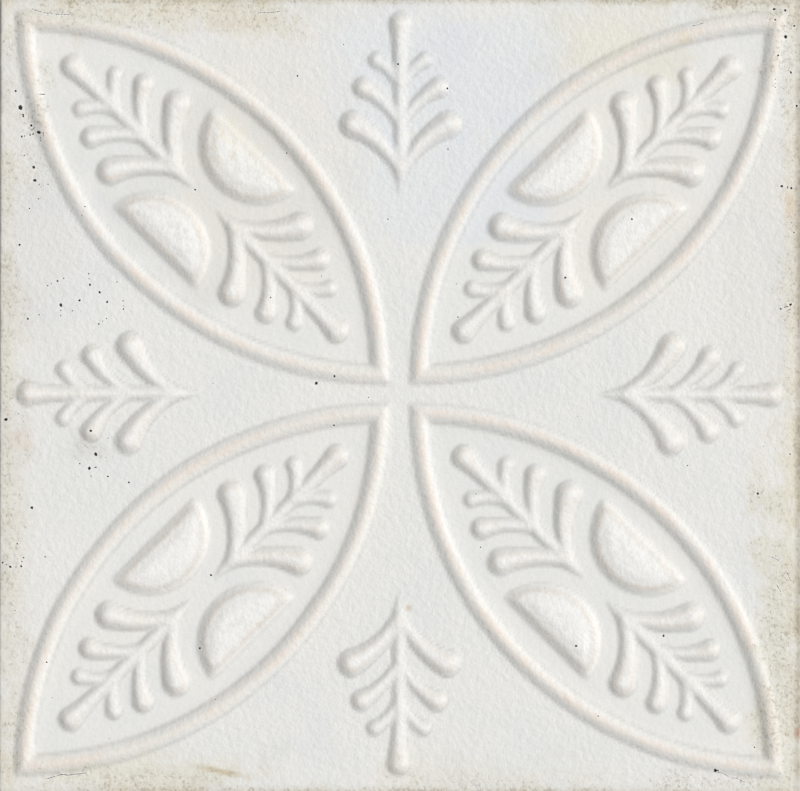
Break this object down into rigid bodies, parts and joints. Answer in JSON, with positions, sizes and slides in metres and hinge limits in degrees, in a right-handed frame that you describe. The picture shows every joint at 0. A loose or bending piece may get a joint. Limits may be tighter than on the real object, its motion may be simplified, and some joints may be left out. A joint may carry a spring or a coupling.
{
  "type": "ceramic wall tile",
  "caption": "Square glazed ceramic wall tile, its face pressed with pointed ovals, half moons and leafy sprigs, its back keyed for adhesive.",
  "frame": {"origin": "middle of the back, in the plane that the tile lies on or is bonded by", "axes": "+Z out of the decorated face, +Y up the tile as pictured, +X to its right; the four ovals lie on the diagonals"},
  "size_m": [0.2, 0.2, 0.0096],
  "materials": {
    "glaze": "satin"
  },
  "bodies": {
    "root": {"tile": "glaze"}
  },
  "joints": []
}
